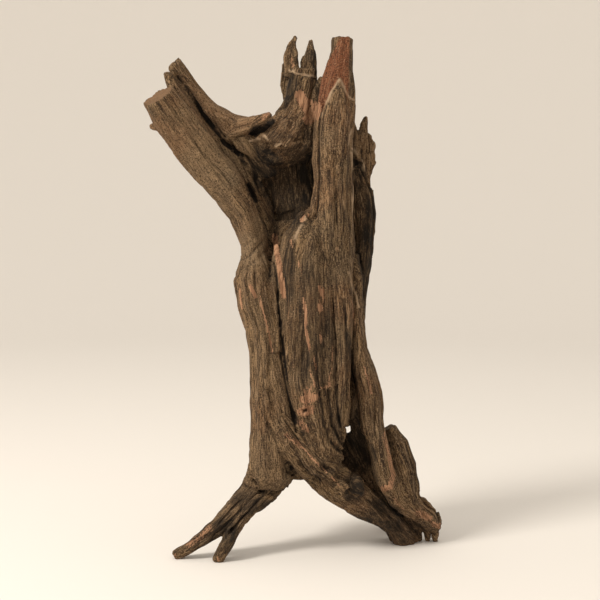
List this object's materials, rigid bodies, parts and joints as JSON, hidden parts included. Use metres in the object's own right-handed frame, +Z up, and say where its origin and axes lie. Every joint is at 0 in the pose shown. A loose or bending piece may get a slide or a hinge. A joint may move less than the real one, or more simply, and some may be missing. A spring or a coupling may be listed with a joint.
{
  "type": "driftwood",
  "caption": "Weathered driftwood stump with a sawn side branch, splintered prongs, a deep hollow and spread root feet that it stands on.",
  "frame": {"origin": "on the floor, under the middle of the bounding box", "axes": "+Z up; -Y towards the viewer of the picture, the side with the deep hollow; +X to the right in the picture"},
  "size_m": [0.2362, 0.1288, 0.4114],
  "materials": {
    "weathered_wood": "matt, weathered and bare"
  },
  "bodies": {
    "root": {"driftwood": "weathered_wood"}
  },
  "joints": []
}
